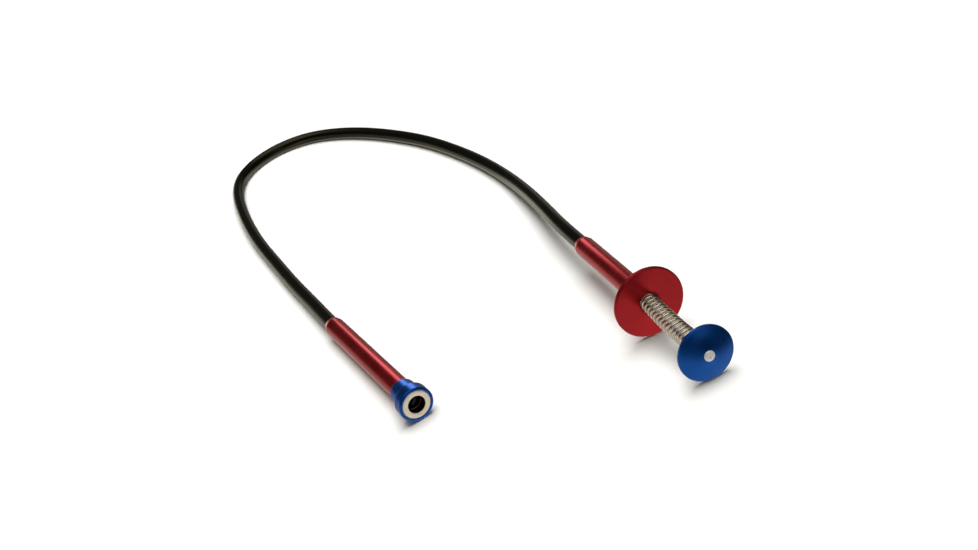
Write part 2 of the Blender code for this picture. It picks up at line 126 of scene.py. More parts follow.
# Head.
COLLAR_NECK_R = 4.85 * MM
COLLAR_NECK_LENGTH = 5.9 * MM
COLLAR_CHAMFER = 1.1 * MM
COLLAR_LIP = 0.55 * MM
COLLAR_FLOOR = 4.55 * MM  # behind the mouth
MAGNET_BORE_R = 3.15 * MM

# Claws.
CLAW_WIDTH = 1.2 * MM
CLAW_THICKNESS = 0.45 * MM
CLAW_EDGE = 0.09 * MM
CLAW_SPLAY = math.radians(4.0)
CLAW_PIVOT = 14.5 * MM
CLAW_HOOK = 2.8 * MM
CLAW_STAGGER = 0.75 * MM
CLAW_HOOK_LENGTH = 3.1 * MM
CLAW_BEND_R = 0.6 * MM
CLAW_TIP_WIDTH = 0.62  # shares of the full width and thickness, and how far back they reach
CLAW_TIP_WIDTH_LENGTH = 1.0 * MM
CLAW_TIP_THICKNESS = 0.7
CLAW_TIP_THICKNESS_LENGTH = 0.3 * MM

# Studio. Each patch is (azimuth, elevation, inner radius, outer radius) in degrees, then its brightness.
# A negative brightness darkens.
TABLE_AIM = (-0.453, 0.305, -0.838)
TABLE_LIGHT = 0.66
DARK_LIGHT = 0.05
CEILING_LIGHT = 0.9
PATCHES = (
    (16.0, 8.0, 3.0, 14.0, 0.22),
    (-30.0, -6.0, 4.0, 14.0, 0.85),
    (152.0, 14.0, 4.0, 17.0, 0.45),
    (150.0, -33.0, 3.0, 12.0, 0.28),
    (12.0, -17.0, 8.0, 26.0, -0.5),
    (-85.0, -40.0, 15.0, 50.0, -0.42),
)

ROUND = 128
ARC_STEPS = 6


# Places taken from the frame.


def joint_axis(name):
    return Vector(JOINTS[name]["axis"]).normalized()


def joint_place(name):
    return Vector(JOINTS[name]["pos_m"])


def corners(node):
    """The places of a CAD node's vertices, each once."""
    points = np.array([tuple(v.co) for v in frame["nodes"][node].data.vertices])
    return np.unique(np.round(points, 7), axis=0)


def turned_axis(node, hint):
    """A turned node's own axis: the direction whose spread differs most from the other two."""
    points = corners(node)
    spread, directions = np.linalg.eigh(np.cov((points - points.mean(axis=0)).T))
    pick = 0 if spread[1] - spread[0] > spread[2] - spread[1] else 2
    axis = Vector(directions[:, pick])
    return axis if axis.dot(hint) > 0 else -axis


def frame_on(axis, origin):
    """A matrix at origin whose local +Z is axis."""
    return Matrix.Translation(origin) @ axis.to_track_quat("Z", "Y").to_matrix().to_4x4()


def measure(node, matrix):
    """A node's (lowest z, highest z, smallest radius, largest radius) in a turned frame."""
    points = corners(node)
    to_local = np.array(matrix.inverted())
    local = points @ to_local[:3, :3].T + to_local[:3, 3]
    radius = np.hypot(local[:, 0], local[:, 1])
    return local[:, 2].min(), local[:, 2].max(), radius.min(), radius.max()


# Materials.


class Nodes:
    """Short names for building one material's node tree."""

    def __init__(self, name):
        self.material = bpy.data.materials.new(name)
        self.material.use_nodes = True
        self.tree = self.material.node_tree
        self.shader = self.tree.nodes["Principled BSDF"]

    def add(self, kind, **settings):
        node = self.tree.nodes.new(kind)
        for key, value in settings.items():
            setattr(node, key, value)
        return node

    def link(self, source, target):
        self.tree.links.new(source, target)

    def set(self, **sockets):
        for key, value in sockets.items():
            self.shader.inputs[key.replace("_", " ")].default_value = value

    def coordinates(self, scale):
        """The object's own coordinates, times scale."""
        place = self.add("ShaderNodeTexCoord")
        mapping = self.add("ShaderNodeMapping")
        mapping.inputs["Scale"].default_value = scale
        self.link(place.outputs["Object"], mapping.inputs["Vector"])
        return mapping.outputs["Vector"]

    def noise(self, vector, scale, detail=3.0, roughness=0.5):
        node = self.add("ShaderNodeTexNoise")
        node.inputs["Scale"].default_value = scale
        node.inputs["Detail"].default_value = detail
        node.inputs["Roughness"].default_value = roughness
        self.link(vector, node.inputs["Vector"])
        return node.outputs["Fac"]

    def spread(self, value, low, high):
        """A noise value's middle range mapped from low to high."""
        node = self.add("ShaderNodeMapRange")
        node.inputs["From Min"].default_value = 0.3
        node.inputs["From Max"].default_value = 0.7
        node.inputs["To Min"].default_value = low
        node.inputs["To Max"].default_value = high
        self.link(value, node.inputs["Value"])
        return node.outputs["Result"]

    def blend(self, value, first, second):
        node = self.add("ShaderNodeMix", data_type="RGBA")
        node.inputs["A"].default_value = (*first, 1.0)
        node.inputs["B"].default_value = (*second, 1.0)
        self.link(value, node.inputs["Factor"])
        return node.outputs["Result"]

    def bump(self, value, strength, distance, before=None):
        node = self.add("ShaderNodeBump")
        node.inputs["Strength"].default_value = strength
        node.inputs["Distance"].default_value = distance
        self.link(value, node.inputs["Height"])
        if before:
            self.link(before, node.inputs["Normal"])
        return node.outputs["Normal"]


def anodised(name, deep, bright, roughness=0.25):
    """Dyed anodised aluminium, turned on a lathe: fine rings round the axis under a clear hard layer."""
    nodes = Nodes(name)
    fine = nodes.coordinates((1.0, 1.0, 1.0))
    cloud = nodes.noise(fine, 90.0, 4.0, 0.6)
    colour = nodes.blend(nodes.spread(cloud, 0.0, 1.0), deep, bright)
    nodes.link(colour, nodes.shader.inputs["Base Color"])
    nodes.link(nodes.spread(cloud, roughness - 0.03, roughness + 0.03), nodes.shader.inputs["Roughness"])
    nodes.set(Metallic=0.9, Anisotropic=0.75, Coat_Weight=0.13, Coat_Roughness=0.12, Coat_IOR=1.5)
    tangent = nodes.add("ShaderNodeTangent", direction_type="RADIAL", axis="Z")
    nodes.link(tangent.outputs["Tangent"], nodes.shader.inputs["Tangent"])
    rings = nodes.coordinates((0.02, 0.02, 1.0))
    lathe = nodes.noise(rings, 9000.0, 2.0)
    grain = nodes.noise(fine, 14000.0, 2.0)
    normal = nodes.bump(lathe, 0.045, 0.02 * MM)
    normal = nodes.bump(grain, 0.035, 0.015 * MM, normal)
    nodes.link(normal, nodes.shader.inputs["Normal"])
    return nodes.material


def plated(name, first, second, roughness, grain_scale=6000.0, metal=1.0):
    """Bare or plated metal with faint mottling and a fine grain."""
    nodes = Nodes(name)
    fine = nodes.coordinates((1.0, 1.0, 1.0))
    cloud = nodes.noise(fine, 160.0, 4.0, 0.6)
    nodes.link(nodes.blend(nodes.spread(cloud, 0.0, 1.0), first, second), nodes.shader.inputs["Base Color"])
    nodes.link(nodes.spread(cloud, roughness - 0.04, roughness + 0.04), nodes.shader.inputs["Roughness"])
    nodes.set(Metallic=metal)
    grain = nodes.noise(fine, grain_scale, 3.0)
    nodes.link(nodes.bump(grain, 0.08, 0.02 * MM), nodes.shader.inputs["Normal"])
    return nodes.material


def vinyl(name):
    """Semi-gloss black vinyl with a faint olive cast, handling marks and a fine pebble."""
    nodes = Nodes(name)
    fine = nodes.coordinates((1.0, 1.0, 1.0))
    cloud = nodes.noise(fine, 60.0, 5.0, 0.6)
    colour = nodes.blend(nodes.spread(cloud, 0.0, 1.0), (0.0008, 0.0008, 0.0006), (0.0019, 0.0018, 0.0013))
    nodes.link(colour, nodes.shader.inputs["Base Color"])
    nodes.link(nodes.spread(cloud, 0.13, 0.2), nodes.shader.inputs["Roughness"])
    nodes.set(IOR=1.47, Specular_Tint=(1.0, 0.95, 0.62, 1.0))
    pebble = nodes.noise(fine, 2600.0, 3.0)
    nodes.link(nodes.bump(pebble, 0.12, 0.03 * MM), nodes.shader.inputs["Normal"])
    return nodes.material


def magnet_with_painted_bore_shade(name):
    """Satin nickel plating. The bore wall and a thin band at its edge are painted near-black: painted shade in
    place of the dark inside the hole.
    """
    nodes = Nodes(name)
    fine = nodes.coordinates((1.0, 1.0, 1.0))
    cloud = nodes.noise(fine, 160.0, 4.0, 0.6)
    plating = nodes.blend(nodes.spread(cloud, 0.0, 1.0), (0.93, 0.80, 0.66), (0.98, 0.88, 0.76))
    flat = nodes.coordinates((1.0, 1.0, 0.0))
    # Painted shade: this radius mask turns the bore wall and a thin band round it near-black, in place of the
    # shade inside the hole.
    radius = nodes.add("ShaderNodeVectorMath", operation="LENGTH")
    nodes.link(flat, radius.inputs[0])
    edge = nodes.add("ShaderNodeMapRange", interpolation_type="SMOOTHSTEP")
    edge.inputs["From Min"].default_value = MAGNET_BORE_R + 0.04 * MM
    edge.inputs["From Max"].default_value = MAGNET_BORE_R + 0.16 * MM
    nodes.link(radius.outputs["Value"], edge.inputs["Value"])
    mix = nodes.add("ShaderNodeMix", data_type="RGBA")
    # The painted shade colour for the bore.
    mix.inputs["A"].default_value = (0.008, 0.008, 0.008, 1.0)
    nodes.link(edge.outputs["Result"], mix.inputs["Factor"])
    nodes.link(plating, mix.inputs["B"])
    nodes.link(mix.outputs["Result"], nodes.shader.inputs["Base Color"])
    nodes.link(nodes.spread(cloud, 0.3, 0.38), nodes.shader.inputs["Roughness"])
    nodes.set(Metallic=0.6)
    grain = nodes.noise(fine, 3500.0, 3.0)
    nodes.link(nodes.bump(grain, 0.08, 0.02 * MM), nodes.shader.inputs["Normal"])
    return nodes.material


def oxide(name):
    """Blackened spring steel, a little worn to grey."""
    nodes = Nodes(name)
    fine = nodes.coordinates((1.0, 1.0, 1.0))
    cloud = nodes.noise(fine, 700.0, 5.0, 0.65)
    colour = nodes.blend(nodes.spread(cloud, 0.0, 1.0), (0.012, 0.012, 0.013), (0.045, 0.043, 0.04))
    nodes.link(colour, nodes.shader.inputs["Base Color"])
    nodes.link(nodes.spread(cloud, 0.34, 0.5), nodes.shader.inputs["Roughness"])
    nodes.set(Metallic=0.8, Specular_IOR_Level=0.6)
    grain = nodes.noise(fine, 5000.0, 3.0)
    nodes.link(nodes.bump(grain, 0.15, 0.02 * MM), nodes.shader.inputs["Normal"])
    return nodes.material


def make_materials():
    return {
        "red_anodised_aluminium": anodised("red_anodised", (0.41, 0.010, 0.018), (0.47, 0.014, 0.022)),
        "blue_anodised_aluminium": anodised("blue_anodised", (0.003, 0.075, 0.40), (0.005, 0.105, 0.50)),
        "black_vinyl": vinyl("black_vinyl"),
        "bright_steel": plated("bright_steel", (0.76, 0.75, 0.72), (0.88, 0.87, 0.84), 0.34, 6000.0, 0.45),
        "nickel_spring": plated("nickel_plate", (0.78, 0.71, 0.62), (0.92, 0.86, 0.77), 0.2),
        "turned_brass": plated("turned_brass", (0.62, 0.42, 0.15), (0.74, 0.54, 0.24), 0.28),
        # The magnet's bore is painted near-black as shade.
        "nickel_magnet": magnet_with_painted_bore_shade("magnet_nickel_painted_bore_shade"),
        "black_spring_steel": oxide("black_oxide"),
    }


# Shapes.


def mesh_object(name, verts, faces, matrix=None):
    mesh = bpy.data.meshes.new(name)
    mesh.from_pydata([tuple(v) for v in verts], [], [tuple(f) for f in faces])
    mesh.validate()
    mesh.update()
    mesh.polygons.foreach_set("use_smooth", [True] * len(mesh.polygons))
    obj = bpy.data.objects.new(name, mesh)
    bpy.context.scene.collection.objects.link(obj)
    if matrix is not None:
        obj.matrix_world = matrix
    return obj


def finish_piece(obj, body, slot_name, *nodes):
    """Gives a piece its material and slot, and lets it ride on a body in place of its CAD nodes."""
    obj.data.materials.append(MATERIALS[slot_name])
    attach(obj, body)
    if nodes:
        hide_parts(*nodes)
    return obj


def fillet(outline, closed):
    """An outline of (radius, z, fillet) as (radius, z), each corner rounded by its own fillet."""
    points = [np.array(p[:2], float) for p in outline]
    count = len(points)
    out = []
    for i, corner in enumerate(points):
        size = outline[i][2]
        at_end = not closed and i in (0, count - 1)
        if at_end or size <= 0:
            out.append(corner)
            continue
        before, after = points[i - 1] - corner, points[(i + 1) % count] - corner
        reach_before, reach_after = np.linalg.norm(before), np.linalg.norm(after)
        before, after = before / reach_before, after / reach_after
        half = math.acos(max(-1.0, min(1.0, float(before @ after)))) / 2
        cut = min(size / math.tan(half), 0.48 * reach_before, 0.48 * reach_after)
        start, end = corner + before * cut, corner + after * cut
        middle = before + after
        middle /= np.linalg.norm(middle)
        centre = corner + middle * cut / math.cos(half)
        radius = cut * math.tan(half)
        first = math.atan2(*(start - centre)[::-1])
        sweep = math.atan2(*(end - centre)[::-1]) - first
        sweep = (sweep + math.pi) % (2 * math.pi) - math.pi
        for step in range(ARC_STEPS + 1):
            angle = first + sweep * step / ARC_STEPS
            out.append(centre + radius * np.array((math.cos(angle), math.sin(angle))))
    return out


def lathe(name, outline, matrix, closed=True, steps=ROUND):
    """A turned piece from (radius, z, fillet) corners: down its outside and, for a ring, back up its bore."""
    line = fillet(outline, closed)
    count = len(line)
    turn = 2 * math.pi * np.arange(steps) / steps
    verts, rings = [], []
    for radius, z in line:
        if radius < 1e-9:
            rings.append([len(verts)] * steps)
            verts.append((0.0, 0.0, z))
            continue
        rings.append(list(range(len(verts), len(verts) + steps)))
        verts += [(radius * math.cos(a), radius * math.sin(a), z) for a in turn]
    faces = []
    for i in range(count if closed else count - 1):
        near, far = rings[i], rings[(i + 1) % count]
        for k in range(steps):
            face = [near[k], far[k], far[(k + 1) % steps], near[(k + 1) % steps]]
            face = [v for n, v in enumerate(face) if v != face[n - 1]]
            faces.append(face)
    obj = mesh_object(name, verts, faces, matrix)
    return outward(obj)


def outward(obj):
    """Turns a closed mesh's faces outward and weighs its normals by face area, so flat faces stay flat."""
    mesh = obj.data
    mesh.calc_loop_triangles()
    co = np.array([tuple(v.co) for v in mesh.vertices])
    tri = np.array([tuple(t.vertices) for t in mesh.loop_triangles])
    a, b, c = co[tri[:, 0]], co[tri[:, 1]], co[tri[:, 2]]
    if np.einsum("ij,ij->i", a, np.cross(b, c)).sum() < 0:
        mesh.flip_normals()
    mesh.set_sharp_from_angle(angle=math.radians(35))
    weighted = obj.modifiers.new("flat_faces", "WEIGHTED_NORMAL")
    weighted.keep_sharp = True
    return obj


def smooth_curve(points, spacing):
    """Evenly spaced points on the natural cubic spline through the given ones."""
    knots = np.array([tuple(p) for p in points])
    spans = np.linalg.norm(np.diff(knots, axis=0), axis=1)
    count = len(knots)
    system = np.eye(count)
    right = np.zeros((count, 3))
    for i in range(1, count - 1):
        before, after = spans[i - 1], spans[i]
        system[i, i - 1 : i + 2] = before, 2 * (before + after), after
        right[i] = 6 * ((knots[i + 1] - knots[i]) / after - (knots[i] - knots[i - 1]) / before)
    bend = np.linalg.solve(system, right)
    fine = []
    for i in range(count - 1):
        span = spans[i]
        for share in np.linspace(0.0, 1.0, 40, endpoint=i == count - 2):
            a, b = (1 - share) * span, share * span
            curve = (bend[i] * a**3 + bend[i + 1] * b**3) / (6 * span)
            line = (knots[i] / span - bend[i] * span / 6) * a
            line += (knots[i + 1] / span - bend[i + 1] * span / 6) * b
            fine.append(curve + line)
    fine = np.array(fine)
    walked = np.concatenate([[0.0], np.cumsum(np.linalg.norm(np.diff(fine, axis=0), axis=1))])
    stops = np.linspace(0.0, walked[-1], round(walked[-1] / spacing) + 1)
    return np.column_stack([np.interp(stops, walked, fine[:, axis]) for axis in range(3)])


def side_frames(line):
    """Unit tangents and two sideways directions along a line, carried along it without twist."""
    along = np.gradient(line, axis=0)
    along /= np.linalg.norm(along, axis=1)[:, None]
    side = np.zeros_like(line)
    start = np.cross(along[0], (0.0, 0.0, 1.0))
    side[0] = start / np.linalg.norm(start)
    for i in range(1, len(line)):
        carried = side[i - 1] - along[i] * (side[i - 1] @ along[i])
        side[i] = carried / np.linalg.norm(carried)
    return along, side, np.cross(along, side)


def tube(name, line, radii, sides, round_ends=False):
    """A tube round a line with a radius at each point, capped flat or with domed ends."""
    line, radii = np.asarray(line), np.asarray(radii, float)
    if round_ends:
        bulge = np.radians((80.0, 60.0, 40.0, 20.0))
        first, last = line[0] - line[1], line[-1] - line[-2]
        first, last = first / np.linalg.norm(first), last / np.linalg.norm(last)
        head = [line[0] + first * radii[0] * math.sin(b) for b in bulge]
        tail = [line[-1] + last * radii[-1] * math.sin(b) for b in bulge[::-1]]
        line = np.vstack([head, line, tail])
        radii = np.concatenate([radii[0] * np.cos(bulge), radii, radii[-1] * np.cos(bulge[::-1])])
    _, side, up = side_frames(line)
    turn = 2 * math.pi * np.arange(sides) / sides
    spokes = np.cos(turn)[None, :, None] * side[:, None, :] + np.sin(turn)[None, :, None] * up[:, None, :]
    verts = (line[:, None, :] + radii[:, None, None] * spokes).reshape(-1, 3)
    faces = []
    for i in range(len(line) - 1):
        low, high = i * sides, (i + 1) * sides
        for k in range(sides):
            n = (k + 1) % sides
            faces.append((low + k, low + n, high + n, high + k))
    faces.append(range(sides - 1, -1, -1))
    faces.append(range((len(line) - 1) * sides, len(line) * sides))
    return outward(mesh_object(name, verts, faces))


# Flexible shaft.


def build_shaft():
    """The vinyl skin. The coil under it shows as fine ribs across the shaft."""
    knots = [HEAD_FERRULE + HEAD_OUT * SHAFT_STRAIGHT, HEAD_FERRULE]
    knots += [Vector(point) * MM for point in ROUTE_MM]
    knots += [HANDLE_FERRULE, HANDLE_FERRULE + HANDLE_OUT * SHAFT_STRAIGHT]
    spacing = RIB_PITCH / RIB_RINGS
    line = smooth_curve(knots, spacing)
    trim = round((SHAFT_STRAIGHT - SHAFT_IN_FERRULE) / spacing)
    line = line[trim : len(line) - trim]
    wave = np.cos(2 * math.pi * np.arange(len(line)) / RIB_RINGS)
    skin = tube("flex_shaft_jacket", line, SHAFT_R - RIB_DEPTH * (0.5 - 0.5 * wave), SHAFT_SIDES)
    finish_piece(skin, "handle_and_shaft", "black_vinyl", "flex_shaft_skin")
    return skin


# Handle.


def build_barrel(name, node, matrix):
    """A thin tube whose nose is rolled down onto the shaft."""
    low, high, bore_r, outer_r = measure(node, matrix)
    shoulder = low + NOSE_LENGTH
    outline = [
        (outer_r, high, 0.16 * MM),
        (outer_r, low + NOSE_TAPER, 1.6 * MM),
        (NOSE_R, low + 1.1 * MM, 0.9 * MM),
        (NOSE_R - 0.16 * MM, low, 0.12 * MM),
        (bore_r, low, 0.08 * MM),
        (bore_r, shoulder, 0.1 * MM),
        (BARREL_BORE_R, shoulder + 0.25 * MM, 0.1 * MM),
        (BARREL_BORE_R, high, 0.1 * MM),
    ]
    finish_piece(lathe(name, outline, matrix), "handle_and_shaft", "red_anodised_aluminium", node)


def build_flange():
    low, high, _, outer_r = measure("finger_flange", HANDLE_FRAME)
    outline = [
        (FLANGE_FIT_R, high, 0.08 * MM),
        (outer_r, high, 0.42 * MM),
        (outer_r, low, 0.42 * MM),
        (FLANGE_FIT_R, low, 0.08 * MM),
    ]
    flange = lathe("flange_disc", outline, HANDLE_FRAME, steps=192)
    finish_piece(flange, "handle_and_shaft", "red_anodised_aluminium", "finger_flange")


def dome_height(r, outer_r):
    """The button's face over its rim, as part of a sphere."""
    sphere = (outer_r**2 + BUTTON_DOME**2) / (2 * BUTTON_DOME)
    return math.sqrt(sphere**2 - r**2) - (sphere - BUTTON_DOME)


def build_button():
    low, _, hole_r, outer_r = measure("thumb_button", BUTTON_FRAME)
    face = np.linspace(hole_r + 0.1 * MM, outer_r - 0.7 * MM, 26)
    outline = [(hole_r, dome_height(face[0], outer_r) - 0.1 * MM, 0.0)]
    outline += [(r, dome_height(r, outer_r), 0.0) for r in face]
    outline += [
        (outer_r, dome_height(outer_r - 0.1 * MM, outer_r), 0.4 * MM),
        (outer_r, -BUTTON_RIM, 0.35 * MM),
        (BOSS_R, -BUTTON_RIM, 0.25 * MM),
        (BOSS_R, low, 0.2 * MM),
        (hole_r, low, 0.1 * MM),
    ]
    button = lathe("button_cap", outline, BUTTON_FRAME, steps=160)
    finish_piece(button, "button", "blue_anodised_aluminium", "thumb_button")
    build_rivet(low, hole_r, outer_r)


def build_rivet(low, hole_r, button_r):
    """A semi-tubular rivet: a low domed head with a dimple where it was set."""
    head_r = measure("button_rivet", BUTTON_FRAME)[3]
    seat = dome_height(head_r, button_r) + 0.02 * MM
    top = dome_height(hole_r, button_r) + RIVET_HEAD_HEIGHT
    outline = [
        (0.0, top - 0.24 * MM, 0.0),
        (0.42 * MM, top - 0.2 * MM, 0.2 * MM),
        (0.72 * MM, top, 0.16 * MM),
        (1.3 * MM, top - 0.05 * MM, 0.5 * MM),
        (head_r, seat + 0.3 * MM, 0.3 * MM),
        (head_r - 0.05 * MM, seat, 0.05 * MM),
        (RIVET_SHANK_R, seat + 0.02 * MM, 0.0),
        (RIVET_SHANK_R, low + 0.02 * MM, 0.1 * MM),
        (0.0, low + 0.02 * MM, 0.0),
    ]
    rivet = lathe("rivet_head", outline, BUTTON_FRAME, closed=False, steps=72)
    finish_piece(rivet, "button", "bright_steel", "button_rivet")


def build_stem():
    """The bare end of the push wire and the ferrule that is crimped on it, under the button."""
    low, high, _, wire_r = measure("button_stem", STEM_FRAME)
    outline = [(0.0, high, 0.0), (wire_r, high, 0.1 * MM), (wire_r, low, 0.1 * MM), (0.0, low, 0.0)]
    wire = lathe("stem_wire", outline, STEM_FRAME, closed=False, steps=32)
    finish_piece(wire, "stem", "bright_steel", "button_stem")
    low, high, _, outer_r = measure("stem_ferrule", STEM_FRAME)
    crimp = outer_r - 0.14 * MM
    outline = [
        (0.0, high, 0.0),
        (outer_r, high, 0.32 * MM),
        (outer_r, low + 2.5 * MM, 0.12 * MM),
        (crimp, low + 2.3 * MM, 0.12 * MM),
        (crimp, low + 1.3 * MM, 0.12 * MM),
        (outer_r, low + 1.1 * MM, 0.12 * MM),
        (outer_r, low, 0.18 * MM),
        (FERRULE_BORE_R, low, 0.08 * MM),
        (FERRULE_BORE_R, low + STEM_FERRULE_DEPTH, 0.05 * MM),
        (0.0, low + STEM_FERRULE_DEPTH, 0.0),
    ]
    ferrule = lathe("wire_ferrule", outline, STEM_FRAME, closed=False, steps=64)
    finish_piece(ferrule, "stem", "bright_steel", "stem_ferrule")


# Return spring.


def hermite(start, end, start_slope, end_slope, t):
    t = t[:, None]
    return (
        (2 * t**3 - 3 * t**2 + 1) * start
        + (t**3 - 2 * t**2 + t) * start_slope
        + (-2 * t**3 + 3 * t**2) * end
        + (t**3 - t**2) * end_slope
    )


def smoothed(rows, reach):
    """Rows averaged over their neighbours, the ends repeated outward."""
    padded = np.vstack([np.repeat(rows[:1], reach, axis=0), rows, np.repeat(rows[-1:], reach, axis=0)])
    sums = np.cumsum(np.vstack([np.zeros((1, 3)), padded]), axis=0)
    return (sums[2 * reach + 1 :] - sums[: -2 * reach - 1]) / (2 * reach + 1)


def spring_line():
    """The coil's wire, from its inner end, and the place where the moving turns begin."""
    handle = np.array(HANDLE_OUT)
    down = np.array((0.0, 0.0, -1.0))
    down -= handle * (down @ handle)
    down /= np.linalg.norm(down)
    leave = handle * math.cos(SPRING_SAG) + down * math.sin(SPRING_SAG)
    start = np.array(FLANGE_CENTRE)
    end = np.array(BUTTON_CENTRE - BUTTON_OUT * (BUTTON_RIM + SPRING_WIRE_R + 0.1 * MM))
    reach = (end - start) @ handle
    turns = np.arange(round((DEAD_TURNS + SPRING_TURNS) * TURN_POINTS) + 1) / TURN_POINTS
    inside = turns < DEAD_TURNS
    share = (turns[~inside] - DEAD_TURNS) / SPRING_TURNS
    closing = np.clip((share - 1.0 + 1.0 / SPRING_TURNS) * SPRING_TURNS, 0.0, 1.0)
    shortfall = SPRING_CLOSING / SPRING_TURNS
    share = share / (1.0 - shortfall) - shortfall * closing**2
    share = np.minimum(share / share[-1], 1.0)
    leaving = leave * reach * SPRING_SAG_REACH
    arriving = np.array(BUTTON_OUT) * reach * SPRING_END_REACH
    outside = hermite(start, end, leaving, arriving, share)
    centre = start + np.outer(turns[inside] / DEAD_TURNS - 1.0, handle) * DEAD_LENGTH
    centre = np.vstack([centre, outside])
    along = smoothed(np.gradient(centre, axis=0), TURN_POINTS // 3)
    along /= np.linalg.norm(along, axis=1)[:, None]
    side = np.cross(along, (0.0, 0.0, 1.0))
    side /= np.linalg.norm(side, axis=1)[:, None]
    up = np.cross(side, along)
    turn = 2 * math.pi * turns[:, None]
    widening = np.clip((turns - DEAD_TURNS) / SPRING_TURNS, 0.0, 1.0)[:, None]
    coil_r = SPRING_MEAN_R + (SPRING_END_R - SPRING_MEAN_R) * widening
    wire = centre + coil_r * (np.cos(turn) * side + np.sin(turn) * up)
    return wire, round(SPLIT_TURN * TURN_POINTS)


def coils(name, wire):
    return tube(name, wire, np.full(len(wire), SPRING_WIRE_R), SPRING_SIDES, round_ends=True)


def build_spring():
    wire, split = spring_line()
    seated = coils("seated_coils", wire[: split + 1])
    finish_piece(seated, "handle_and_shaft", "nickel_spring")
    free = coils("free_coils", wire[split:])
    finish_piece(free, "spring", "nickel_spring", "return_spring")
    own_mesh(free)


# Head.


def build_collar():
    """The stepped collar: a neck over the barrel, a wide band and a rounded lip at the mouth."""
    low, _, fit_r, outer_r = measure("head_collar", HEAD_FRAME)
    magnet_r = measure("ring_magnet", HEAD_FRAME)[3] + 0.04 * MM
    neck_end = low + COLLAR_NECK_LENGTH
    band = neck_end + COLLAR_CHAMFER
    outline = [
        (magnet_r, 0.0, 0.06 * MM),
        (outer_r, 0.0, COLLAR_LIP),
        (outer_r, band, 0.45 * MM),
        (COLLAR_NECK_R + 0.05 * MM, neck_end, 0.3 * MM),
        (COLLAR_NECK_R, low, 0.35 * MM),
        (fit_r - 0.28 * MM, low, 0.06 * MM),
        (fit_r - 0.28 * MM, -COLLAR_FLOOR, 0.1 * MM),
        (magnet_r, -COLLAR_FLOOR, 0.1 * MM),
    ]
    collar = lathe("mouth_collar", outline, HEAD_FRAME, steps=160)
    finish_piece(collar, "handle_and_shaft", "blue_anodised_aluminium", "head_collar")


def build_magnet():
    low, high, bore_r, outer_r = measure("ring_magnet", HEAD_FRAME)
    outline = [
        (outer_r, high, 0.22 * MM),
        (outer_r, low, 0.22 * MM),
        (bore_r, low, 0.15 * MM),
        (bore_r, high, 0.26 * MM),
    ]
    magnet = lathe("magnet_ring", outline, HEAD_FRAME)
    finish_piece(magnet, "handle_and_shaft", "nickel_magnet", "ring_magnet")


def claw_line(index):
    """One claw's middle line as (outward, forward) from its root. The hook bends inward."""
    length = CLAW_PIVOT - CLAW_HOOK - CLAW_STAGGER * index
    ahead = np.array((math.sin(CLAW_SPLAY), math.cos(CLAW_SPLAY)))
    elbow = np.array((length * math.tan(CLAW_SPLAY), length))
    turn = math.pi / 2 + CLAW_SPLAY
    straight = CLAW_BEND_R * math.tan(turn / 2)
    centre = elbow - straight * ahead + CLAW_BEND_R * np.array((-ahead[1], ahead[0]))
    swings = np.linspace(0.0, turn, 15) - CLAW_SPLAY
    bend = [centre + CLAW_BEND_R * np.array((math.cos(a), math.sin(a))) for a in swings]
    start = [bend[0] * share for share in np.linspace(0.0, 0.96, 12)]
    tip = elbow + np.array((-CLAW_HOOK_LENGTH, 0.0))
    end = [bend[-1] + (tip - bend[-1]) * share for share in np.linspace(0.15, 1.0, 8)]
    return np.array(start + bend + end)


def strip_section():
    """A flat strip's section with rounded edges, as (thickness, width) points."""
    points = []
    for across, up in ((1, 1), (-1, 1), (-1, -1), (1, -1)):
        centre = np.array((across * (CLAW_THICKNESS / 2 - CLAW_EDGE), up * (CLAW_WIDTH / 2 - CLAW_EDGE)))
        first = math.atan2(up, across) - math.pi / 4
        for step in range(4):
            angle = first + math.pi / 2 * step / 3
            points.append(centre + CLAW_EDGE * np.array((math.cos(angle), math.sin(angle))))
    return np.array(points)


def build_claw(index):
    """A flat spring strip, narrowed and rounded over at the tip of its hook."""
    joint = JOINTS[f"claw_{index + 1}_open"]
    across = Vector(joint["axis"]).normalized()
    outward_side = across.cross(HEAD_OUT).normalized()
    line = claw_line(index)
    slope = np.gradient(line, axis=0)
    slope /= np.linalg.norm(slope, axis=1)[:, None]
    normal = np.column_stack([slope[:, 1], -slope[:, 0]])
    walked = np.concatenate([[0.0], np.cumsum(np.linalg.norm(np.diff(line, axis=0), axis=1))])
    left = walked[-1] - walked
    narrowing = np.sqrt(np.clip(left / CLAW_TIP_WIDTH_LENGTH, 0.0, 1.0))
    wide = CLAW_TIP_WIDTH + (1.0 - CLAW_TIP_WIDTH) * narrowing
    thinning = np.clip(left / CLAW_TIP_THICKNESS_LENGTH, 0.0, 1.0)
    thick = CLAW_TIP_THICKNESS + (1.0 - CLAW_TIP_THICKNESS) * thinning
    section = strip_section()
    sides = len(section)
    verts = []
    for point, side, w, t in zip(line, normal, wide, thick):
        for lift, spread in section:
            spot = point + side * lift * t
            verts.append((spot[0], spot[1], spread * w))
    faces = [range(sides - 1, -1, -1), range(len(verts) - sides, len(verts))]
    for i in range(len(line) - 1):
        for k in range(sides):
            n = (k + 1) % sides
            faces.append((i * sides + k, i * sides + n, (i + 1) * sides + n, (i + 1) * sides + k))
    matrix = Matrix((outward_side, HEAD_OUT, across)).transposed().to_4x4()
    matrix.translation = Vector(joint["pos_m"])
    claw = outward(mesh_object(f"claw_strip_{index + 1}", verts, faces, matrix))
    finish_piece(claw, f"prong_{index + 1}", "black_spring_steel", f"claw_{index + 1}")


# Camera, floor and lights.


